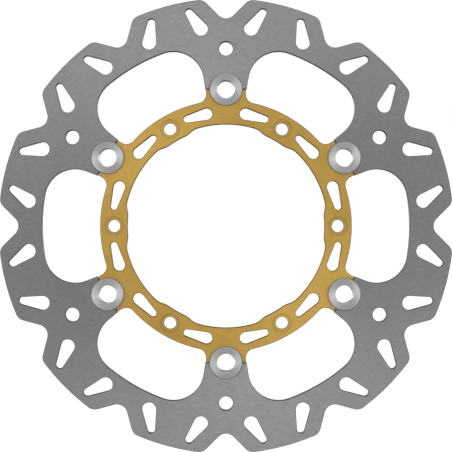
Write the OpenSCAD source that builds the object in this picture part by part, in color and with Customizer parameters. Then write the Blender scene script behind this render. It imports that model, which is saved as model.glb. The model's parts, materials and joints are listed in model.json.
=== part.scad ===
// Floating brake disc: a steel friction ring hung on an aluminium carrier by six bobbins.
// The disc stands upright. Its axis is Y, its front face looks towards -Y, and +Z is up.
// The origin is the centre of the bolt circle on the rear face, where the disc meets the wheel hub.
// Every outline is drawn as seen from the front and has a height above the rear face.

/* [Friction ring] */
// Outer diameter, across the lobes
ring_d = 305; // [304:0.5:308]
// Thickness of the steel ring
ring_t = 5; // [4:0.5:6]
// Radius at the bottom of the scallops between the lobes
scallop_r = 139.1; // [138:0.1:141]
// Radius of the rounding at the bottom of each scallop
scallop_round = 7.1; // [6:0.1:8]
// Radius of the rounding at each corner of a lobe
lobe_round = 7; // [5:0.5:7.5]
// Outer radius of the windows between ring and carrier
window_r = 123.2; // [122.5:0.1:124]
// Radius of the rounding where a window meets a foot of the ring
window_round = 20.3; // [19:0.1:21]
// Distance from a foot's centre line to the middle of that rounding
window_round_off = 35.3; // [34.6:0.1:36]

/* [Carrier] */
// Thickness of the carrier
carrier_t = 5; // [4:0.5:6]
// Radius of the carrier's rim between its lugs
carrier_r = 84.3; // [83.5:0.1:86]
// Half the width of each lug
lug_half_w = 13.4; // [12.5:0.1:14]
// Radius of the fillet beside each lug
lug_fillet = 6; // [3:0.2:7]
// Diameter of the spigot that the pilot pads sit on
pilot_d = 132; // [131:0.5:133]
// Radius of the opening between the pilot pads
relief_r = 68.2; // [68:0.1:69]

/* [Mounting bolts] */
// Pitch circle diameter of the bolt holes
bolt_pcd = 150; // [150:0.5:152]
// Diameter of each bolt hole, a clearance hole for M8
bolt_hole_d = 8.1; // [8:0.1:9]
// Diameter of the shallow seat around each bolt hole
bolt_seat_d = 12.8; // [12:0.2:14]

/* [Bobbins] */
// Number of bobbins, and of bolts, lugs and windows
lug_count = 6; // [6:6]
// Radius of the circle that the bobbins stand on
bobbin_pcr = 91.5; // [91:0.1:92]
// Diameter of the bobbin's head
head_d = 22; // [21:0.5:23]
// Diameter of the bobbin's shank
shank_d = 16; // [15:0.5:17]
// Diameter of the hole through the bobbin
bobbin_hole_d = 12; // [11:0.1:12.6]
// Gap between the ring's feet and the carrier's lugs
split_gap = 0.5; // [0.4:0.1:1.2]
// Radial clearance of the shank in its half-round seats
seat_clear = 0.06; // [0.04:0.01:0.1]

/* [Hidden] */
$fn = 96;
poke = 0.01;          // how far a rounding's circle reaches past the lines it is tangent to
poke_small = 0.0025;  // the same for the ends of a slot
over = 1;             // how far a cutter runs past the face it cuts
root = 12;            // how far a lug's stock reaches into the carrier's rim

pitch = 360 / lug_count;
lobe_count = 2 * lug_count;
lobe_pitch = 360 / lobe_count;
ring_r = ring_d / 2;
shank_r = shank_d / 2;
seat_r = shank_r + seat_clear;
foot_end = bobbin_pcr + 0.5 * split_gap;
lug_end = bobbin_pcr - 0.5 * split_gap;

// Slots and holes in the ring
slot_in_r = 133.3;    // centre of a slot's wide end
slot_in_a = 7.75;     // its angle from the middle of the lobe
slot_in_round = 4.7;
slot_out_r = 145.2;   // centre of a slot's narrow end
slot_out_a = 5.19;
slot_out_round = 2.5;
ring_hole_r = 118.8;  // circle that the round holes stand on
ring_hole_d = 9.3;
foot_taper = 9;       // angle of a foot's sides to its centre line

// Slots in the carrier
vent_r = 76.2;
vent_wide_a = 20.06;  // angle of the wide end from the bolt hole
vent_wide_round = 3.9;
vent_narrow_a = 9.94;
vent_narrow_round = 2.3;

// Pilot pads, whose ends run out into the opening in two arcs
pad_a = 5.2;          // angle from the middle of a pad to where its end begins
pad_round = 13.5;     // radius of the arc at the end of the pad
pad_blend = 12.5;     // radius of the arc that joins it to the opening
pad_round_r = pilot_d / 2 + pad_round;
pad_blend_r = relief_r - pad_blend;
pad_sides = pow(pad_round_r, 2) + pow(pad_blend_r, 2) - pow(pad_round + pad_blend, 2);
pad_blend_a = pad_a + acos(pad_sides / (2 * pad_round_r * pad_blend_r));
bolt_seat_deep = 0.3;
hole_chamfer = 0.4;

// Bobbin stack, as heights above the rear face
float_gap = 0.2;      // room for the ring to float on each side
head_t = 1.3;
head_z = ring_t + float_gap;
wave_t = 0.35;        // thickness of the wave washer's strip
wave_high = 0.9;      // its height from trough to crest, strip included
wave_z = -float_gap - wave_high;
flat_t = 0.8;
flat_z = wave_z - flat_t;
clip_t = 1;
clip_z = flat_z - clip_t;
tail_past_clip = 1.1;
tail_end = clip_z - tail_past_clip;
groove_r = shank_r - 0.4;
head_edge = 0.5;
tail_edge = 0.5;
hole_edge = 0.3;
dish_deep = 0.12;     // how far the face of the head is dished
washer_in = shank_r + 0.15;
washer_out = head_d / 2;
wave_out = head_d / 2 - 0.4;
wave_steps = 36;
wave_count = 3;

// Circlip
clip_width = 2.1;     // of the ring opposite its ends
clip_thin = 1.5;      // of the ring near its ends
clip_ear_r = 1.9;
clip_ear_a = 14;      // angle of each ear from the middle of the gap
clip_eye_r = 0.85;
clip_gap_a = 7;

function polar(r, a) = [r * cos(a), r * sin(a)];

// Moves a shape drawn from the front onto the disc, which stands upright
module upright() {
    rotate([90, 0, 0])
        children();
}

// Copies a shape around the disc
module around(count, first = 0) {
    for (i = [0:count - 1])
        rotate(first + i * 360 / count)
            children();
}

// A teardrop: two circles and the two lines that touch both
module teardrop(p1, r1, p2, r2) {
    d = p2 - p1;
    len = norm(d);
    along = atan2(d[1], d[0]);
    lean = acos((r1 - r2) / len);
    a = along + lean;
    b = along - lean;
    translate(p1)
        circle(r1 + poke_small);
    translate(p2)
        circle(r2 + poke_small);
    polygon([p1 + polar(r1, a), p1, p1 + polar(r1, b), p2 + polar(r2, b), p2, p2 + polar(r2, a)]);
}

// One scallop on the +X side: a V with sides at 45 degrees and a round bottom
module scallop() {
    c = scallop_r + scallop_round;
    s = scallop_round * sqrt(0.5);
    far = ring_r + over - (c - s);
    translate([c, 0])
        circle(scallop_round + poke);
    polygon([[c - s, s], [c - s + far, s + far], [c - s + far, -s - far], [c - s, -s]]);
}

// What the rounding takes off one corner of a lobe, beside the scallop on the +X side
module lobe_corner() {
    tip = scallop_r + scallop_round - scallop_round * sqrt(2);
    inner = ring_r - lobe_round;
    off = tip - lobe_round * sqrt(2);
    y = (sqrt(2 * inner * inner - off * off) - off) / 2;
    mid = [y + off, y];
    side = mid + lobe_round * [sqrt(0.5), -sqrt(0.5)];
    rim = mid * ring_r / inner;
    corner = (ring_r + over) / ring_r * rim + [0, -over];
    outside = side + 2 * over * polar(1, 30);
    difference() {
        polygon([mid, side, outside, corner + [over, 0], rim * (1 + over / ring_r)]);
        translate(mid)
            circle(lobe_round + poke);
    }
}

// One foot of the ring, on the +X side, before its roundings are cut
module foot() {
    mid_x = sqrt(pow(window_r - window_round, 2) - pow(window_round_off, 2));
    side = [mid_x + window_round * sin(foot_taper), window_round_off - window_round * cos(foot_taper)];
    end_y = side[1] - (side[0] - foot_end) * tan(foot_taper);
    rim = (window_r + over) / (window_r - window_round) * [mid_x, window_round_off];
    tip = [pow(norm(rim), 2) / rim[0], 0];
    right = [[foot_end, end_y], side, [mid_x, window_round_off], rim];
    left = [for (i = [3:-1:0]) [right[i][0], -right[i][1]]];
    polygon(concat(right, [tip], left));
}

// The circles that round the windows into a foot, on both sides of the foot
module window_rounding() {
    mid_x = sqrt(pow(window_r - window_round, 2) - pow(window_round_off, 2));
    for (side = [-1, 1])
        translate([mid_x, side * window_round_off])
            circle(window_round + poke);
}

module ring_slot() {
    for (side = [-1, 1])
        teardrop(polar(slot_in_r, side * slot_in_a), slot_in_round,
                 polar(slot_out_r, side * slot_out_a), slot_out_round);
}

module ring_outline() {
    difference() {
        circle(ring_r);
        difference() {
            circle(window_r);
            around(lug_count, pitch / 2)
                foot();
        }
        around(lug_count, pitch / 2)
            window_rounding();
        around(lobe_count)
            scallop();
        around(lobe_count) {
            lobe_corner();
            mirror([0, 1])
                lobe_corner();
        }
        around(lobe_count, lobe_pitch / 2)
            ring_slot();
        around(lug_count, pitch / 2)
            translate([bobbin_pcr, 0])
                circle(seat_r);
    }
}

// A drilled hole with a small chamfer at both faces
module drilled(r, t) {
    translate([0, 0, -over])
        cylinder(r = r, h = t + 2 * over);
    translate([0, 0, -over])
        cylinder(r1 = r + hole_chamfer + over, r2 = r, h = hole_chamfer + over);
    translate([0, 0, t - hole_chamfer])
        cylinder(r1 = r, r2 = r + hole_chamfer + over, h = hole_chamfer + over);
}

module friction_ring() {
    color([0.55, 0.54, 0.54])
        upright()
            difference() {
                linear_extrude(ring_t)
                    ring_outline();
                around(lug_count, pitch / 2)
                    translate([ring_hole_r, 0])
                        drilled(ring_hole_d / 2, ring_t);
            }
}

// One lug with the stock for its two fillets, on the +X side
module lug() {
    y = lug_half_w + lug_fillet;
    x = sqrt(pow(carrier_r + lug_fillet, 2) - y * y);
    foot_in = (carrier_r - over) / (carrier_r + lug_fillet);
    translate([carrier_r - root, -lug_half_w])
        square([lug_end - carrier_r + root, 2 * lug_half_w]);
    polygon([[x, -y], [x, y], [x, y] * foot_in, [x, -y] * foot_in]);
}

module lug_fillets() {
    y = lug_half_w + lug_fillet;
    x = sqrt(pow(carrier_r + lug_fillet, 2) - y * y);
    for (side = [-1, 1])
        translate([x, side * y])
            circle(lug_fillet + poke);
}

// One pilot pad on the +X side, before the spigot's circle and the blending arcs are cut
module pilot_pad() {
    for (side = [-1, 1]) {
        top = polar(pad_round_r, side * pad_a);
        translate(top)
            circle(pad_round + poke);
        polygon([top, polar(pad_blend_r, side * pad_blend_a), polar(relief_r + over, side * pad_blend_a)]);
    }
    polygon([[0, 0], polar(pad_round_r, -pad_a), polar(pad_round_r, pad_a)]);
}

// The opening for the hub's spigot, with the pilot pads standing into it
module hub_opening() {
    difference() {
        circle(relief_r);
        around(lug_count)
            pilot_pad();
    }
    circle(pilot_d / 2);
    around(lug_count)
        for (side = [-1, 1])
            translate(polar(pad_blend_r, side * pad_blend_a))
                circle(pad_blend + poke);
}

module carrier_outline() {
    difference() {
        union() {
            circle(carrier_r);
            around(lug_count, pitch / 2)
                lug();
        }
        around(lug_count, pitch / 2)
            lug_fillets();
        hub_opening();
        around(lug_count)
            for (side = [-1, 1])
                teardrop(polar(vent_r, side * vent_wide_a), vent_wide_round,
                         polar(vent_r, side * vent_narrow_a), vent_narrow_round);
        around(lug_count, pitch / 2)
            translate([bobbin_pcr, 0])
                circle(seat_r);
    }
}

module carrier() {
    color([0.74, 0.59, 0.30])
        upright()
            difference() {
                linear_extrude(carrier_t)
                    carrier_outline();
                around(lug_count)
                    translate([bolt_pcd / 2, 0]) {
                        drilled(bolt_hole_d / 2, carrier_t);
                        translate([0, 0, carrier_t - bolt_seat_deep])
                            cylinder(d = bolt_seat_d, h = over);
                    }
            }
}

// Places a part of bobbin number i on its own axis
module at_bobbin(i) {
    upright()
        rotate(pitch / 2 + (i - 1) * pitch)
            translate([bobbin_pcr, 0])
                children();
}

module bobbin(i) {
    hole_r = bobbin_hole_d / 2;
    head_r = head_d / 2;
    top = head_z + head_t;
    color([0.72, 0.72, 0.72])
        at_bobbin(i)
            rotate_extrude()
                polygon([
                    [hole_r, tail_end + hole_edge],
                    [hole_r + hole_edge, tail_end],
                    [shank_r - tail_edge, tail_end],
                    [shank_r, tail_end + tail_edge],
                    [shank_r, clip_z],
                    [groove_r, clip_z],
                    [groove_r, clip_z + clip_t],
                    [shank_r, clip_z + clip_t],
                    [shank_r, head_z],
                    [head_r, head_z],
                    [head_r, top - head_edge],
                    [head_r - head_edge, top],
                    [hole_r + hole_edge, top - dish_deep],
                    [hole_r, top - dish_deep - hole_edge]
                ]);
}

// A washer bent into three waves, swept around as a strip of four corners
module wave_washer(i) {
    lift = (wave_high - wave_t) / 2;
    points = [
        for (s = [0:wave_steps - 1])
            let (a = s * 360 / wave_steps, z = lift * (1 + cos(wave_count * a)))
                each [
                    concat(polar(washer_in, a), z),
                    concat(polar(wave_out, a), z),
                    concat(polar(wave_out, a), z + wave_t),
                    concat(polar(washer_in, a), z + wave_t)
                ]
    ];
    count = 4 * wave_steps;
    faces = [
        for (s = [0:wave_steps - 1], k = [0:3])
            let (
                a = 4 * s + k,
                b = 4 * s + (k + 1) % 4,
                c = (4 * s + 4 + (k + 1) % 4) % count,
                d = (4 * s + 4 + k) % count
            )
                each [[a, b, c], [a, c, d]]
    ];
    color([0.62, 0.62, 0.64])
        at_bobbin(i)
            translate([0, 0, wave_z])
                polyhedron(points, faces);
}

module flat_washer(i) {
    color([0.68, 0.68, 0.70])
        at_bobbin(i)
            translate([0, 0, flat_z])
                difference() {
                    cylinder(r = washer_out, h = flat_t);
                    translate([0, 0, -over])
                        cylinder(r = washer_in, h = flat_t + 2 * over);
                }
}

// An external circlip, thickest opposite its gap, with two ears and an eye in each
module circlip(i) {
    mid = (clip_width - clip_thin) / 2;
    outer = groove_r + (clip_width + clip_thin) / 2;
    color([0.35, 0.35, 0.37])
        at_bobbin(i)
            translate([0, 0, clip_z])
                linear_extrude(clip_t)
                    difference() {
                        union() {
                            translate([-mid, 0])
                                circle(outer);
                            for (side = [-1, 1])
                                translate(polar(groove_r + clip_ear_r, side * clip_ear_a))
                                    circle(clip_ear_r);
                        }
                        circle(groove_r);
                        polygon([[0, 0], polar(2 * outer, -clip_gap_a), polar(2 * outer, clip_gap_a)]);
                        for (side = [-1, 1])
                            translate(polar(groove_r + clip_ear_r, side * clip_ear_a))
                                circle(clip_eye_r);
                    }
}

friction_ring();
carrier();
bobbin(1);  // bobbin_1
bobbin(2);  // bobbin_2
bobbin(3);  // bobbin_3
bobbin(4);  // bobbin_4
bobbin(5);  // bobbin_5
bobbin(6);  // bobbin_6
wave_washer(1);  // wave_washer_1
wave_washer(2);  // wave_washer_2
wave_washer(3);  // wave_washer_3
wave_washer(4);  // wave_washer_4
wave_washer(5);  // wave_washer_5
wave_washer(6);  // wave_washer_6
flat_washer(1);  // flat_washer_1
flat_washer(2);  // flat_washer_2
flat_washer(3);  // flat_washer_3
flat_washer(4);  // flat_washer_4
flat_washer(5);  // flat_washer_5
flat_washer(6);  // flat_washer_6
circlip(1);  // circlip_1
circlip(2);  // circlip_2
circlip(3);  // circlip_3
circlip(4);  // circlip_4
circlip(5);  // circlip_5
circlip(6);  // circlip_6
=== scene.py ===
import json
import math

import bmesh
import bpy
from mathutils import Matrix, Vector
from mathutils.geometry import delaunay_2d_cdt


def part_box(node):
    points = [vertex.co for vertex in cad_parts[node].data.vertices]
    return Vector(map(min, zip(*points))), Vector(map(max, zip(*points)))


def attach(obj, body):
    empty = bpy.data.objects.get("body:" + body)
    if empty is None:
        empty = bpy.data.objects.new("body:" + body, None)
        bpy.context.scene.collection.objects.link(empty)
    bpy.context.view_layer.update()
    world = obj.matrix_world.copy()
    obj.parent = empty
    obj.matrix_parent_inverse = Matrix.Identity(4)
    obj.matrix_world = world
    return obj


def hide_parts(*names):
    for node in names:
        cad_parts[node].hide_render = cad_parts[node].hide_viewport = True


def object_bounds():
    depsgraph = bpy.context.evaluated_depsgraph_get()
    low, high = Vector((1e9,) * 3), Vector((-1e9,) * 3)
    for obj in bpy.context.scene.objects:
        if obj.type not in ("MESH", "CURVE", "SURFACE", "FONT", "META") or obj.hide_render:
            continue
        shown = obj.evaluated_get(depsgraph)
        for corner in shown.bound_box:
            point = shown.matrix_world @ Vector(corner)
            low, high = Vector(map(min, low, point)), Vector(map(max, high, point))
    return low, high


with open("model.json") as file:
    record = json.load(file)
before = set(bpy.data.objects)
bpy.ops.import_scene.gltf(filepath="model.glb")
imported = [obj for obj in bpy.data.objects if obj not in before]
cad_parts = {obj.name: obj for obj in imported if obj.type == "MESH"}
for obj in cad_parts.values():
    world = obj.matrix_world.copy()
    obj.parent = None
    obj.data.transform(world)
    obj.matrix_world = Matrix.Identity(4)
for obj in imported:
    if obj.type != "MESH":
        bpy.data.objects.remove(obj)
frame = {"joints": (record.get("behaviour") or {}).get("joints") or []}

CAD_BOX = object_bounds()
MM = 0.001

# Outlines are drawn in millimetres as seen from the front: x to the right, z up.
# The front face looks towards -Y.

# Friction ring
RING_R = 152.5
SCALLOP_R = 139.1
SCALLOP_ROUND = 7.1
LOBE_ROUND = 7.0
WINDOW_R = 123.2
WINDOW_ROUND = 20.3
WINDOW_ROUND_OFF = 35.3
FOOT_TAPER = 9.0
SLOT_IN = (133.3, 7.75, 4.7)       # radius, angle from the lobe's middle, rounding
SLOT_OUT = (145.2, 5.19, 2.5)
RING_HOLE_R = 118.8
RING_HOLE_D = 9.3
RING_EDGE = 0.3                    # rounding of the ring's edges
RING_HOLE_CHAMFER = 0.4

# Carrier
CARRIER_R = 84.3
LUG_HALF_W = 13.4
LUG_FILLET = 6.0
PILOT_R = 66.0
RELIEF_R = 68.2
PAD_A = 5.2                        # from the middle of a pilot pad to where its end begins
PAD_ROUND = 13.5
PAD_BLEND = 12.5
VENT_WIDE = (76.2, 20.06, 3.9)     # radius, angle from the bolt hole, rounding
VENT_NARROW = (76.2, 9.94, 2.3)
BOLT_R = 75.0
BOLT_HOLE_D = 8.1
BOLT_SEAT_D = 12.8
BOLT_SEAT_DEEP = 0.3
BOLT_SEAT_SOFT = 0.12              # rounding of the seat's outer edge
BOLT_CHAMFER = 0.25
CARRIER_EDGE = 0.35                # rounding of the carrier's edges

# Bobbins
BOBBIN_PCR = 91.5
SPLIT_GAP = 0.5
SHANK_R = 8.0
SEAT_R = 8.06
BOBBIN_HOLE_R = 6.0
BOBBIN_CHAMFER = 0.3               # at both ends of the hole
TAIL_CHAMFER = 0.5
HEAD_DISH = 0.12                   # how far the head's face falls towards the hole
HEAD_RIM = (0.45, 0.55)            # the bevel at the head's rim: inwards, and in depth
HEAD_LIFT = 0.2                    # from the ring's face to the head
GROOVE_R = 7.6                     # bottom of the circlip's groove
WASHER_R = 8.15                    # hole in both washers
WAVE_STRIP = 0.35                  # thickness of the wave washer's strip
WAVES = 3

# Circlips
CLIP_WIDE = 2.1
CLIP_THIN = 1.5
EAR_R = 1.9
EAR_A = 14.0                       # from the middle of the gap to each ear
GAP_A = 7.0                        # from the middle of the gap to each end
EYE_R = 0.85
CLIP_EDGE = 0.12
EYE_CHAMFER = 0.08

LUGS = 6
LOBES = 12

FINE = 0.005                       # how far an arc's chords may stand off the true arc
CLOSE = 0.0005                     # points nearer than this are one point
LATHE_STEPS = 144
CLIP_STEPS = 240
SHARP = 40                         # corners over this many degrees stay sharp

# The camera's distance in front of the ring, and the width that it sees there, in metres
CAMERA_DISTANCE = 0.870
FRAME_WIDE = 0.3026


# ---------------------------------------------------------------- outlines

def polar(radius, degrees, centre=(0.0, 0.0)):
    a = math.radians(degrees)
    return (centre[0] + radius * math.cos(a), centre[1] + radius * math.sin(a))


def arc(centre, radius, start, end):
    """Points along an arc from one angle to another, in degrees."""
    step = math.degrees(2 * math.acos(1 - FINE / radius))
    count = max(2, math.ceil(abs(end - start) / step))
    return [polar(radius, start + (end - start) * i / count, centre) for i in range(count + 1)]


def turned(points, degrees):
    c, s = math.cos(math.radians(degrees)), math.sin(math.radians(degrees))
    return [(x * c - y * s, x * s + y * c) for x, y in points]


def angle_of(point):
    return math.degrees(math.atan2(point[1], point[0]))


def cleaned(points):
    """The closed outline without points that fall on their neighbour."""
    kept = []
    for p in points:
        if not kept or math.dist(p, kept[-1]) > CLOSE:
            kept.append(p)
    if math.dist(kept[0], kept[-1]) <= CLOSE:
        kept.pop()
    return kept


def repeated(half, count, first=0.0):
    """A closed outline from half of one pitch, which starts on the pitch's middle line."""
    pitch = 360.0 / count
    one = [(x, -y) for x, y in reversed(half)] + half[1:]
    points = []
    for i in range(count):
        points += turned(one, first + i * pitch)
    return cleaned(points)


def circle(centre, radius):
    return cleaned(arc(centre, radius, 0.0, 360.0))


def teardrop(wide, narrow, side, middle):
    """Two circles and the lines that touch both; each end is (radius, angle, rounding)."""
    p1 = polar(wide[0], middle + side * wide[1])
    p2 = polar(narrow[0], middle + side * narrow[1])
    along = angle_of((p2[0] - p1[0], p2[1] - p1[1]))
    lean = math.degrees(math.acos((wide[2] - narrow[2]) / math.dist(p1, p2)))
    return cleaned(
        arc(p1, wide[2], along + lean, along + 360 - lean)
        + arc(p2, narrow[2], along - lean, along + lean)
    )


def ring_rim():
    """The lobes and the scallops between them."""
    bottom = (SCALLOP_R + SCALLOP_ROUND, 0.0)
    tip = bottom[0] - SCALLOP_ROUND * math.sqrt(2)
    inner = RING_R - LOBE_ROUND
    off = tip - LOBE_ROUND * math.sqrt(2)
    y = (math.sqrt(2 * inner * inner - off * off) - off) / 2
    mid = (y + off, y)
    half = arc(bottom, SCALLOP_ROUND, 180, 135)
    half += arc(mid, LOBE_ROUND, -45, angle_of(mid))
    half += arc((0, 0), RING_R, angle_of(mid), 180 / LOBES)
    return repeated(half, LOBES)


def ring_windows():
    """The inner edge of the ring: seats, feet and the outer sides of the windows."""
    mid = (math.sqrt((WINDOW_R - WINDOW_ROUND) ** 2 - WINDOW_ROUND_OFF ** 2), WINDOW_ROUND_OFF)
    end = BOBBIN_PCR + SPLIT_GAP / 2
    side = polar(WINDOW_ROUND, FOOT_TAPER - 90, mid)
    half = arc((BOBBIN_PCR, 0), SEAT_R, 0, math.degrees(math.acos(SPLIT_GAP / 2 / SEAT_R)))
    half.append((end, side[1] - (side[0] - end) * math.tan(math.radians(FOOT_TAPER))))
    half += arc(mid, WINDOW_ROUND, FOOT_TAPER - 90, angle_of(mid))
    half += arc((0, 0), WINDOW_R, angle_of(mid), 180 / LUGS)
    return repeated(half, LUGS, 180 / LUGS)


def carrier_rim():
    """The outer edge of the carrier: seats, lugs, fillets and rim."""
    end = BOBBIN_PCR - SPLIT_GAP / 2
    y = LUG_HALF_W + LUG_FILLET
    mid = (math.sqrt((CARRIER_R + LUG_FILLET) ** 2 - y * y), y)
    half = arc((BOBBIN_PCR, 0), SEAT_R, 180, math.degrees(math.acos(-SPLIT_GAP / 2 / SEAT_R)))
    half.append((end, LUG_HALF_W))
    half += arc(mid, LUG_FILLET, -90, angle_of(mid) - 180)
    half += arc((0, 0), CARRIER_R, angle_of(mid), 180 / LUGS)
    return repeated(half, LUGS, 180 / LUGS)


def carrier_bore():
    """The opening for the hub, with pilot pads whose ends run out in two arcs."""
    from_centre, blend_from_centre = PILOT_R + PAD_ROUND, RELIEF_R - PAD_BLEND
    sides = from_centre ** 2 + blend_from_centre ** 2 - (PAD_ROUND + PAD_BLEND) ** 2
    blend_a = PAD_A + math.degrees(math.acos(sides / (2 * from_centre * blend_from_centre)))
    c1, c2 = polar(from_centre, PAD_A), polar(blend_from_centre, blend_a)
    across = angle_of((c2[0] - c1[0], c2[1] - c1[1]))
    half = arc((0, 0), PILOT_R, 0, PAD_A)
    half += arc(c1, PAD_ROUND, PAD_A + 180, across)
    half += arc(c2, PAD_BLEND, across - 180, blend_a)
    half += arc((0, 0), RELIEF_R, blend_a, 180 / LUGS)
    return repeated(half, LUGS)


# ---------------------------------------------------------------- meshes

# A section is a list of (how far in from the outline, depth, material of the band that starts there).

def plain_edge(thick, radius, steps=3):
    """The section of a wall with both edges rounded."""
    front = []
    for i in range(steps + 1):
        a = math.pi / 2 * i / steps
        front.append((radius * (1 - math.sin(a)), radius * (1 - math.cos(a)), 1))
    return front + [(into, thick - depth, 1) for into, depth, _ in reversed(front)]


def seat_edge(thick, hole_r, seat_r, deep, chamfer):
    """The section of a bolt hole with a shallow seat, whose inner half is worn pale by the bolt. The
    seat's step and outer half get a darker copy of the gold, painted shade at the step.
    """
    step = seat_r - hole_r
    worn = 0.5 * step
    return [
        (step + BOLT_SEAT_SOFT, 0.0, 2), (step, BOLT_SEAT_SOFT, 2), (step, deep, 2),
        (worn, deep, 3), (chamfer, deep, 3), (0.0, deep + chamfer, 1),
        (0.0, thick - chamfer, 1), (chamfer, thick, 1),
    ]


def drill_edge(thick, chamfer):
    """The section of a hole with a chamfer at both faces."""
    return [(chamfer, 0.0, 1), (0.0, chamfer, 1), (0.0, thick - chamfer, 1), (chamfer, thick, 1)]


def inset(points, distance):
    """The outline moved to its left, which is where the metal is."""
    if distance == 0:
        return list(points)
    moved = []
    count = len(points)
    for i in range(count):
        (x0, y0), (x1, y1), (x2, y2) = points[i - 1], points[i], points[(i + 1) % count]
        l1, l2 = math.hypot(x1 - x0, y1 - y0), math.hypot(x2 - x1, y2 - y1)
        n1 = (-(y1 - y0) / l1, (x1 - x0) / l1)
        n2 = (-(y2 - y1) / l2, (x2 - x1) / l2)
        k = distance / (1 + n1[0] * n2[0] + n1[1] * n2[1])
        moved.append((x1 + k * (n1[0] + n2[0]), y1 + k * (n1[1] + n2[1])))
    return moved


def filled(loops):
    """Triangles between the first outline and the others, as (loop, point) pairs."""
    coords, faces, names = [], [], []
    for k, loop in enumerate(loops):
        start = len(coords)
        coords += [Vector(p) for p in loop]
        names += [(k, i) for i in range(len(loop))]
        ids = list(range(start, len(coords)))
        faces.append(ids if k == 0 else ids[::-1])
    _, _, tris, origin, _, owners = delaunay_2d_cdt(coords, [], faces, 1, 1e-7)
    return [
        [names[origin[v][0]] for v in tri]
        for tri, owner in zip(tris, owners)
        if list(owner) == [0]
    ]


def finish_mesh(name, bm, materials, origin):
    """Turns a bmesh in metres into an object with smooth faces and sharp corners."""
    mesh = bpy.data.meshes.new(name)
    bm.normal_update()
    for face in bm.faces:
        face.smooth = True
    for edge in bm.edges:
        if len(edge.link_faces) == 2:
            a, b = edge.link_faces
            corner = math.degrees(a.normal.angle(b.normal, 0.0)) > SHARP
            edge.smooth = not (corner or a.material_index != b.material_index)
    bm.to_mesh(mesh)
    bm.free()
    for m in materials:
        mesh.materials.append(m)
    obj = bpy.data.objects.new(name, mesh)
    obj.location = origin
    bpy.context.scene.collection.objects.link(obj)
    return obj


def plate(name, loops, y_front, materials, origin=(0.0, 0.0, 0.0)):
    """A flat plate. loops is a list of (outline, section): first the outside, then the holes."""
    bm = bmesh.new()
    rings = []
    for k, (points, section) in enumerate(loops):
        points = points if k == 0 else points[::-1]
        rows = [
            [bm.verts.new((x * MM, y_front + depth * MM, z * MM)) for x, z in inset(points, into)]
            for into, depth, _ in section
        ]
        rings.append((points, section, rows))
    for points, section, rows in rings:
        count = len(points)
        for k in range(len(section) - 1):
            row, below = rows[k], rows[k + 1]
            for i in range(count):
                j = (i + 1) % count
                bm.faces.new((row[i], below[i], below[j], row[j])).material_index = section[k][2]
    for end, flip in ((0, False), (-1, True)):
        for tri in filled([inset(points, section[end][0]) for points, section, _ in rings]):
            verts = [rings[k][2][end][i] for k, i in tri]
            bm.faces.new(verts[::-1] if flip else verts)
    return finish_mesh(name, bm, materials, origin)


def softened(corners, segments=3):
    """A closed section whose corners (r, y, rounding) are rounded off."""
    points = []
    count = len(corners)
    for i, (r, y, soft) in enumerate(corners):
        here = Vector((r, y))
        if soft == 0:
            points.append(here)
            continue
        back = (Vector(corners[i - 1][:2]) - here).normalized()
        ahead = (Vector(corners[(i + 1) % count][:2]) - here).normalized()
        half = back.angle(ahead) / 2
        reach = soft / math.tan(half)
        centre = here + (back + ahead).normalized() * soft / math.sin(half)
        a, b = here + back * reach - centre, here + ahead * reach - centre
        for s in range(segments + 1):
            t = s / segments
            points.append(centre + (a * (1 - t) + b * t).normalized() * soft)
    return points


def lathe(name, section, materials, origin, lift=None, slots=None):
    """Turns a closed section of (r, y) points, in millimetres, around the Y axis.

    lift gives how far the section moves along the axis at an angle, and slots the material
    between two of its points.
    """
    bm = bmesh.new()
    rows = []
    for s in range(LATHE_STEPS):
        a = 2 * math.pi * s / LATHE_STEPS
        up = lift(a) if lift else 0.0
        rows.append([
            bm.verts.new((p[0] * math.cos(a) * MM, (p[1] + up) * MM, p[0] * math.sin(a) * MM))
            for p in section
        ])
    count = len(section)
    for s in range(LATHE_STEPS):
        row, after = rows[s], rows[(s + 1) % LATHE_STEPS]
        for i in range(count):
            j = (i + 1) % count
            face = bm.faces.new((row[i], row[j], after[j], after[i]))
            if slots:
                face.material_index = slots(section[i], section[j])
    bmesh.ops.recalc_face_normals(bm, faces=bm.faces)
    return finish_mesh(name, bm, materials, origin)


# ---------------------------------------------------------------- materials

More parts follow.
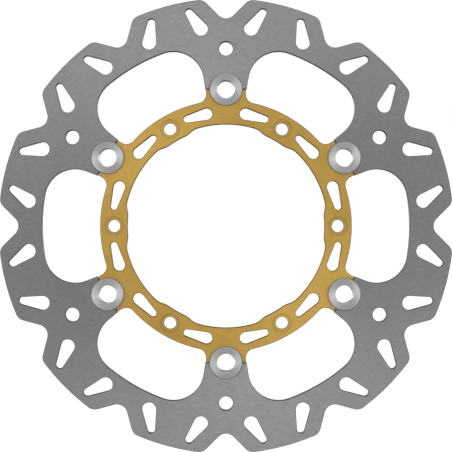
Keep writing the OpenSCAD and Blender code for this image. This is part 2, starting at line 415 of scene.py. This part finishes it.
class Nodes:
    """A short way to write a material's node tree."""

    def __init__(self, name):
        self.material = bpy.data.materials.new(name)
        self.material.use_nodes = True
        self.tree = self.material.node_tree
        self.shader = self.tree.nodes["Principled BSDF"]

    def add(self, kind, **values):
        node = self.tree.nodes.new("ShaderNode" + kind)
        for key, value in values.items():
            setattr(node, key, value)
        return node

    def link(self, a, b):
        self.tree.links.new(a, b)

    def feed(self, sockets, values):
        """Links each value that is a socket, and sets each one that is a number."""
        for socket, value in zip(sockets, values):
            if hasattr(value, "is_linked"):
                self.link(value, socket)
            else:
                socket.default_value = value

    def set(self, node, **values):
        for key, value in values.items():
            node.inputs[key.replace("_", " ")].default_value = value

    def finish(self, colour, roughness, metallic, normal):
        """Feeds the shader."""
        inputs = self.shader.inputs
        self.link(colour, inputs["Base Color"])
        self.link(roughness, inputs["Roughness"])
        self.link(normal, inputs["Normal"])
        inputs["Metallic"].default_value = metallic
        return self.material

    def math(self, op, *values):
        node = self.add("Math", operation=op)
        self.feed(node.inputs, values)
        return node.outputs[0]

    def times(self, a, b):
        return self.math("MULTIPLY", a, b)

    def sum(self, first, *others):
        """The sum of (value, weight) pairs."""
        total = self.times(*first)
        for pair in others:
            total = self.math("ADD", total, self.times(*pair))
        return total

    def place(self):
        """Where the point is on its own piece, in millimetres."""
        node = self.add("VectorMath", operation="SCALE")
        self.link(self.add("TexCoord").outputs["Object"], node.inputs[0])
        self.set(node, Scale=1 / MM)
        return node.outputs[0]

    def parts(self, vector):
        node = self.add("SeparateXYZ")
        self.link(vector, node.inputs[0])
        return node.outputs

    def joined(self, x, y, z):
        node = self.add("CombineXYZ")
        self.feed(node.inputs, (x, y, z))
        return node.outputs[0]

    def noise(self, vector, scale, detail, rough):
        node = self.add("TexNoise")
        self.link(vector, node.inputs["Vector"])
        self.set(node, Scale=scale, Detail=detail, Roughness=rough)
        return node.outputs["Fac"]

    def remap(self, value, a, b, c, d):
        """Takes a..b to c..d."""
        node = self.add("MapRange")
        self.link(value, node.inputs["Value"])
        self.set(node, From_Min=a, From_Max=b, To_Min=c, To_Max=d)
        return node.outputs["Result"]

    def ramp(self, value, stops):
        node = self.add("ValToRGB")
        self.link(value, node.inputs["Fac"])
        items = node.color_ramp.elements
        while len(items) < len(stops):
            items.new(0.5)
        for item, (at, colour) in zip(items, stops):
            item.position = at
            item.color = (*colour, 1.0)
        return node.outputs["Color"]

    def grain(self, amount, turn):
        """Stretches highlights along the grain, which turns with the piece's own Y axis."""
        self.link(self.add("Tangent", direction_type="RADIAL", axis="Y").outputs[0],
                  self.shader.inputs["Tangent"])
        self.set(self.shader, Anisotropic=amount, Anisotropic_Rotation=turn / 360)

    def bump(self, height, strength, distance, normal=None):
        node = self.add("Bump")
        self.link(height, node.inputs["Height"])
        self.set(node, Strength=strength, Distance=distance)
        if normal is not None:
            self.link(normal, node.inputs["Normal"])
        return node.outputs["Normal"]


def around_axis(n, place):
    """Distance from the piece's own Y axis, and a vector that runs in rings around it."""
    x, _, z = n.parts(place)
    radius = n.math("MAXIMUM", n.math("SQRT", n.sum((x, x), (z, z))), 0.01)
    return radius, n.math("DIVIDE", x, radius), n.math("DIVIDE", z, radius)


def rings_in(n, place, across, around, detail, rough):
    """Noise in rings around the axis, from its frequency across the rings and around them."""
    radius, c, s = around_axis(n, place)
    return n.noise(n.joined(n.times(radius, across), n.times(c, around), n.times(s, around)),
                   1.0, detail, rough)


def streaks(n, place, degrees, along, across):
    """Noise stretched in one direction, from its frequency along the direction and across it."""
    x, _, z = n.parts(place)
    cos, sin = math.cos(math.radians(degrees)), math.sin(math.radians(degrees))
    u = n.sum((x, cos * along), (z, sin * along))
    v = n.sum((z, cos * across), (x, -sin * across))
    return n.noise(n.joined(u, v, 0.0), 1.0, 2.0, 0.6)


def ground_steel():
    """Flat faces of the ring: stainless steel with fine rings, crossing scratches and soft streaks."""
    n = Nodes("ground_steel")
    place = n.place()
    rings = rings_in(n, place, 3.2, 9.0, 3.0, 0.6)
    scratches = streaks(n, place, 36.87, 2.6, 0.12)
    fleck = streaks(n, place, 20.0, 0.22, 0.62)
    cloud = n.noise(place, 0.045, 3.0, 0.55)
    grain = n.sum((rings, 0.55), (scratches, 0.45))
    tone = n.sum((grain, 0.45), (fleck, 0.38), (cloud, 0.17))
    colour = n.ramp(tone, [(0.30, (0.217, 0.212, 0.214)), (0.50, (0.262, 0.256, 0.258)),
                           (0.70, (0.307, 0.300, 0.302))])
    rough = n.math("ADD", n.remap(grain, 0.3, 0.7, 0.34, 0.46), n.remap(fleck, 0.3, 0.7, -0.02, 0.03))
    n.grain(0.70, 0.0)
    return n.finish(colour, rough, 1.0, n.bump(grain, 0.22, 0.00006))


def cut_steel_oxide_and_shade():
    """Walls and edges of the ring: cut steel with fine lines across the thickness. Its dark colour is
    partly the cut's own oxide and partly painted shade.
    """
    n = Nodes("cut_steel_oxide_and_shade")
    place = n.place()
    x, y, z = n.parts(place)
    lines = n.noise(n.joined(x, n.times(y, 0.06), z), 2.4, 3.0, 0.65)
    stain = n.noise(place, 0.12, 3.0, 0.6)
    # Dark colours: partly the cut's own oxide, partly painted shade on the walls and edge roundings.
    colour = n.ramp(n.sum((lines, 0.7), (stain, 0.3)),
                    [(0.30, (0.070, 0.068, 0.070)), (0.52, (0.105, 0.102, 0.104)),
                     (0.72, (0.150, 0.146, 0.148))])
    rough = n.remap(lines, 0.3, 0.7, 0.52, 0.66)
    return n.finish(colour, rough, 1.0, n.bump(lines, 0.35, 0.00012))


def gold(name, deep, mid, light, face=True):
    """Gold anodised aluminium, satin on its faces and dull on its walls: etched, with mill lines. The
    colours given for its walls are a dark copy of the gold, painted shade.
    """
    n = Nodes(name)
    place = n.place()
    etch = n.noise(place, 1.5, 2.0, 0.6)
    cloud = n.noise(place, 0.06, 3.0, 0.5)
    if face:
        mill = rings_in(n, place, 1.4, 5.0, 2.0, 0.55)
        n.grain(0.70, 148.0)
        rough, metallic = 0.36, 0.5
    else:
        x, y, z = n.parts(place)
        mill = n.noise(n.joined(x, n.times(y, 0.08), z), 1.8, 2.0, 0.6)
        rough, metallic = 0.55, 1.0
    tone = n.sum((etch, 0.36), (cloud, 0.34), (mill, 0.30))
    colour = n.ramp(tone, [(0.34, deep), (0.50, mid), (0.66, light)])
    roughness = n.remap(tone, 0.35, 0.65, rough + 0.05, rough - 0.05)
    normal = n.bump(mill, 0.15, 0.00008, n.bump(etch, 0.20, 0.00004))
    return n.finish(colour, roughness, metallic, normal)


def turned_metal(name, dark, light, pitch, rough, strength, anisotropic=0.0):
    """Steel from the lathe, with fine rings around the piece's own axis."""
    n = Nodes(name)
    place = n.place()
    radius, c, s = around_axis(n, place)
    _, y, _ = n.parts(place)
    cut = n.sum((radius, 1.0 / pitch), (y, 1.0 / pitch))
    rings = n.noise(n.joined(cut, n.times(c, 0.8), n.times(s, 0.8)), 1.0, 2.0, 0.6)
    patch = n.noise(place, 0.25, 3.0, 0.55)
    colour = n.ramp(n.sum((rings, 0.65), (patch, 0.35)), [(0.30, dark), (0.70, light)])
    roughness = n.remap(rings, 0.3, 0.7, rough + 0.05, rough - 0.05)
    if anisotropic:
        n.grain(anisotropic, 90.0)
    return n.finish(colour, roughness, 1.0, n.bump(rings, strength, 0.00005))


def stamped_metal(name, dark, light, rough):
    """Rolled and stamped strip: small pits and a few long marks."""
    n = Nodes(name)
    place = n.place()
    pits = n.noise(place, 2.2, 4.0, 0.65)
    x, y, z = n.parts(place)
    marks = n.noise(n.joined(n.times(x, 2.5), y, n.times(z, 0.25)), 1.0, 2.0, 0.5)
    tone = n.sum((pits, 0.5), (marks, 0.5))
    colour = n.ramp(tone, [(0.32, dark), (0.68, light)])
    roughness = n.remap(tone, 0.3, 0.7, rough + 0.06, rough - 0.05)
    return n.finish(colour, roughness, 1.0, n.bump(pits, 0.25, 0.00006))


GROUND = ground_steel()
CUT_OXIDE_AND_SHADE = cut_steel_oxide_and_shade()
GOLD = gold("gold_anodised", (0.395, 0.237, 0.043), (0.458, 0.280, 0.054), (0.521, 0.331, 0.071))
# Carrier walls and edge roundings: a dark copy of the gold, painted shade.
GOLD_SHADED_EDGE = gold("gold_painted_shade_edge", (0.08, 0.052, 0.016), (0.11, 0.072, 0.022),
                 (0.15, 0.10, 0.032), face=False)
# Step and outer half of each bolt seat: a darker copy of the gold, painted shade at the step.
GOLD_SHADED_SEAT = gold("gold_seat_painted_shade", (0.340, 0.204, 0.038), (0.395, 0.241, 0.047),
                 (0.450, 0.285, 0.062))
GOLD_WORN = gold("gold_anodised_worn", (0.340, 0.233, 0.066), (0.395, 0.274, 0.080),
                 (0.450, 0.319, 0.098))
TURNED = turned_metal("turned_steel", (0.39, 0.39, 0.395), (0.50, 0.50, 0.505), 0.16, 0.38, 0.35, 0.68)
# Rim bevel and side of each bobbin head: a darker copy of the turned steel, painted shade around the
# head.
RIM = turned_metal("rim_steel_painted_shade", (0.27, 0.27, 0.272), (0.36, 0.36, 0.363), 0.22, 0.60, 0.40)
BORED = turned_metal("bored_steel", (0.392, 0.392, 0.396), (0.476, 0.476, 0.480), 0.22, 0.55, 0.35)
SPRING = stamped_metal("spring_steel", (0.34, 0.34, 0.35), (0.46, 0.46, 0.475), 0.32)
WASHER = stamped_metal("washer_steel", (0.38, 0.38, 0.385), (0.50, 0.50, 0.505), 0.38)
DARK_SPRING = stamped_metal("dark_spring_steel", (0.030, 0.030, 0.032), (0.060, 0.060, 0.064), 0.40)


# ---------------------------------------------------------------- pieces

def stand_for(piece, node, body):
    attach(piece, body)
    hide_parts(node)


def friction_ring():
    low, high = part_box("friction_ring")
    thick = (high.y - low.y) / MM
    edge = plain_edge(thick, RING_EDGE)
    loops = [(ring_rim(), edge), (ring_windows(), edge)]
    for i in range(LOBES):
        middle = (i + 0.5) * 360 / LOBES
        loops += [(teardrop(SLOT_IN, SLOT_OUT, side, middle), edge) for side in (-1, 1)]
    for i in range(LUGS):
        centre = polar(RING_HOLE_R, (i + 0.5) * 360 / LUGS)
        loops.append((circle(centre, RING_HOLE_D / 2), drill_edge(thick, RING_HOLE_CHAMFER)))
    piece = plate("ground_friction_ring", loops, low.y, [GROUND, CUT_OXIDE_AND_SHADE])
    stand_for(piece, "friction_ring", "ring")


def carrier():
    low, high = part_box("carrier")
    thick = (high.y - low.y) / MM
    edge = plain_edge(thick, CARRIER_EDGE)
    loops = [(carrier_rim(), edge), (carrier_bore(), edge)]
    bolt_edge = seat_edge(thick, BOLT_HOLE_D / 2, BOLT_SEAT_D / 2, BOLT_SEAT_DEEP, BOLT_CHAMFER)
    for i in range(LUGS):
        middle = i * 360 / LUGS
        loops += [(teardrop(VENT_WIDE, VENT_NARROW, side, middle), edge) for side in (-1, 1)]
        loops.append((circle(polar(BOLT_R, middle), BOLT_HOLE_D / 2), bolt_edge))
    piece = plate("anodised_carrier", loops, low.y, [GOLD, GOLD_SHADED_EDGE, GOLD_SHADED_SEAT, GOLD_WORN])
    stand_for(piece, "carrier", "carrier")


def bobbin_axis(i):
    """Where bobbin i turns, taken from its joint."""
    joint = next(j for j in frame["joints"] if j["name"] == f"bobbin_{i}_turn")
    return Vector(joint["pos_m"])


def bobbin_angle(i):
    """Which way bobbin i lies from the disc's centre, in degrees."""
    return 180 / LUGS + (i - 1) * 360 / LUGS


def bobbin(i):
    low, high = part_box(f"bobbin_{i}")
    clip_low, clip_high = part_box(f"circlip_{i}")
    ring_low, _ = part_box("friction_ring")
    top, tail = low.y / MM, high.y / MM
    head_r = (high.x - low.x) / MM / 2
    head_under = ring_low.y / MM - HEAD_LIFT
    corners = [
        (BOBBIN_HOLE_R, top + HEAD_DISH + BOBBIN_CHAMFER, 0.10),
        (BOBBIN_HOLE_R + BOBBIN_CHAMFER, top + HEAD_DISH, 0.10),
        (head_r - HEAD_RIM[0], top, 0.10),
        (head_r, top + HEAD_RIM[1], 0.12),
        (head_r, head_under, 0.08),
        (SHANK_R, head_under, 0.0),
        (SHANK_R, clip_low.y / MM, 0.05),
        (GROOVE_R, clip_low.y / MM, 0.0),
        (GROOVE_R, clip_high.y / MM, 0.0),
        (SHANK_R, clip_high.y / MM, 0.05),
        (SHANK_R, tail - TAIL_CHAMFER, 0.1),
        (SHANK_R - TAIL_CHAMFER, tail, 0.1),
        (BOBBIN_HOLE_R + BOBBIN_CHAMFER, tail, 0.1),
        (BOBBIN_HOLE_R, tail - BOBBIN_CHAMFER, 0.1),
    ]
    bore = BOBBIN_HOLE_R + 0.05
    rim = head_r - HEAD_RIM[0] - 0.02

    def zone(p, q):
        """The rim of the head is rougher than the turned faces and a darker copy of them, the darkness
        painted shade; the bore is duller than the turned faces.
        """
        if max(p[0], q[0]) < bore:
            return 2
        return int(min(p[0], q[0]) > rim and max(p[1], q[1]) < head_under)

    piece = lathe(f"turned_bobbin_{i}", softened(corners), [TURNED, RIM, BORED], bobbin_axis(i),
                  slots=zone)
    stand_for(piece, f"bobbin_{i}", f"bobbin_set_{i}")


def wave_washer(i):
    low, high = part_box(f"wave_washer_{i}")
    outer = (high.x - low.x) / MM / 2
    lift = ((high.y - low.y) / MM - WAVE_STRIP) / 2
    start = math.radians(bobbin_angle(i))
    base = low.y / MM + lift
    corners = [(WASHER_R, base, 0.08), (outer, base, 0.08),
               (outer, base + WAVE_STRIP, 0.08), (WASHER_R, base + WAVE_STRIP, 0.08)]
    piece = lathe(f"sprung_washer_{i}", softened(corners), [SPRING], bobbin_axis(i),
                  lift=lambda a: -lift * math.cos(WAVES * (a - start)))
    stand_for(piece, f"wave_washer_{i}", f"bobbin_set_{i}")


def flat_washer(i):
    low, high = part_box(f"flat_washer_{i}")
    outer = (high.x - low.x) / MM / 2
    front, back = low.y / MM, high.y / MM
    corners = [(WASHER_R, front, 0.1), (outer, front, 0.15),
               (outer, back, 0.22), (WASHER_R, back, 0.15)]
    piece = lathe(f"plain_washer_{i}", softened(corners), [WASHER], bobbin_axis(i))
    stand_for(piece, f"flat_washer_{i}", f"bobbin_set_{i}")


def circlip_outline():
    """An external circlip: an off-centre ring, open towards +x, with an ear at each end."""
    shift, outer = (CLIP_WIDE - CLIP_THIN) / 2, GROOVE_R + (CLIP_WIDE + CLIP_THIN) / 2
    ears = [polar(GROOVE_R + EAR_R, side * EAR_A) for side in (-1, 1)]

    def reach(degrees):
        """How far the metal goes from the centre in one direction."""
        d = polar(1.0, degrees)
        found = []
        for centre, r in [((-shift, 0.0), outer)] + [(e, EAR_R) for e in ears]:
            along = d[0] * centre[0] + d[1] * centre[1]
            off = r * r - (centre[0] ** 2 + centre[1] ** 2 - along ** 2)
            if off > 0:
                found.append(along + math.sqrt(off))
        return max(found)

    angles = [GAP_A + (360 - 2 * GAP_A) * k / CLIP_STEPS for k in range(CLIP_STEPS + 1)]
    outside = [polar(reach(a), a) for a in angles]
    inside = [polar(GROOVE_R, a) for a in reversed(angles)]
    return cleaned(outside + inside), [circle(e, EYE_R) for e in ears]


def circlip(i):
    low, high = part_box(f"circlip_{i}")
    thick = (high.y - low.y) / MM
    outline, eyes = circlip_outline()
    loops = [(outline, plain_edge(thick, CLIP_EDGE))]
    loops += [(eye, drill_edge(thick, EYE_CHAMFER)) for eye in eyes]
    loops = [(turned(points, bobbin_angle(i)), section) for points, section in loops]
    axis = bobbin_axis(i)
    piece = plate(f"retaining_clip_{i}", loops, low.y - axis.y, [DARK_SPRING, DARK_SPRING], origin=axis)
    stand_for(piece, f"circlip_{i}", f"bobbin_set_{i}")


# ---------------------------------------------------------------- studio

def stage_sweep():
    """A pale floor that the disc stands on, curved up behind it. It gives off its own light."""
    n = Nodes("pale_floor")
    n.set(n.shader, Base_Color=(0.10, 0.10, 0.10, 1.0), Roughness=0.9,
          Emission_Color=(1.0, 1.0, 1.0, 1.0), Emission_Strength=0.93)
    floor_z = CAD_BOX[0][2]
    half, near, far, bend, high = 4.0, -4.0, 2.4, 1.2, 3.0
    section = [(near, 0.0)]
    section += [(far - bend + bend * math.sin(a), bend - bend * math.cos(a))
                for a in (math.pi / 2 * k / 24 for k in range(25))]
    section.append((far, high))
    bm = bmesh.new()
    rows = [[bm.verts.new((x, y, floor_z + z)) for y, z in section] for x in (-half, half)]
    for k in range(len(section) - 1):
        bm.faces.new((rows[0][k], rows[1][k], rows[1][k + 1], rows[0][k + 1])).smooth = True
    mesh = bpy.data.meshes.new("pale_floor")
    bm.to_mesh(mesh)
    bm.free()
    mesh.materials.append(n.material)
    floor = bpy.data.objects.new("pale_floor", mesh)
    floor.visible_glossy = False
    floor.visible_diffuse = False
    floor.visible_shadow = False
    bpy.context.scene.collection.objects.link(floor)


def softbox(name, place, size, power):
    """An area light that shines at the disc's centre."""
    light = bpy.data.lights.new(name, "AREA")
    light.shape = "RECTANGLE"
    light.size, light.size_y = size
    light.energy = power
    lamp = bpy.data.objects.new(name, light)
    lamp.location = place
    lamp.rotation_euler = (-Vector(place)).to_track_quat("-Z", "Y").to_euler()
    bpy.context.scene.collection.objects.link(lamp)


def surroundings(front, back):
    """A white room that the metal sees darker than the camera does, and darkest behind the disc."""
    world = bpy.data.worlds.new("studio")
    bpy.context.scene.world = world
    world.use_nodes = True
    tree = world.node_tree
    coord = tree.nodes.new("ShaderNodeTexCoord")
    parts = tree.nodes.new("ShaderNodeSeparateXYZ")
    tree.links.new(coord.outputs["Generated"], parts.inputs[0])
    fade = tree.nodes.new("ShaderNodeMapRange")
    tree.links.new(parts.outputs["Y"], fade.inputs["Value"])
    for key, number in (("From Min", -1.0), ("From Max", 0.3), ("To Min", front), ("To Max", back)):
        fade.inputs[key].default_value = number
    seen = tree.nodes.new("ShaderNodeLightPath")
    strength = tree.nodes.new("ShaderNodeMath")
    strength.operation = "MAXIMUM"
    tree.links.new(seen.outputs["Is Camera Ray"], strength.inputs[0])
    tree.links.new(fade.outputs["Result"], strength.inputs[1])
    sky = tree.nodes["Background"]
    sky.inputs["Color"].default_value = (1.0, 1.0, 1.0, 1.0)
    tree.links.new(strength.outputs[0], sky.inputs["Strength"])


def studio():
    stage_sweep()
    surroundings(0.68, 0.30)
    softbox("right_light", (1.25, -1.1, 0.24), (1.3, 1.3), 14.2)
    softbox("left_light", (-1.25, -1.1, -0.24), (1.3, 1.3), 14.2)
    softbox("top_light", (0, -0.6, 1.5), (1.6, 0.8), 7)
    softbox("back_right_light", (1.25, 1.1, 0.30), (0.9, 0.9), 26)
    softbox("back_left_light", (-1.25, 1.1, 0.30), (0.9, 0.9), 26)


def camera():
    """Straight in front of the disc, far enough for the perspective of a product photo."""
    front_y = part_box("friction_ring")[0].y
    cam = bpy.data.cameras.new("camera")
    cam.sensor_width = 36.0
    cam.lens = cam.sensor_width * CAMERA_DISTANCE / FRAME_WIDE
    cam.clip_start, cam.clip_end = 0.01, 50.0
    obj = bpy.data.objects.new("camera", cam)
    obj.location = (0.0, front_y - CAMERA_DISTANCE, 0.0)
    obj.rotation_euler = (math.pi / 2, 0.0, 0.0)
    bpy.context.scene.collection.objects.link(obj)
    bpy.context.scene.camera = obj


camera()
friction_ring()
carrier()
for number in range(1, LUGS + 1):
    bobbin(number)
    wave_washer(number)
    flat_washer(number)
    circlip(number)
studio()
bpy.context.scene.view_settings.view_transform = "Standard"
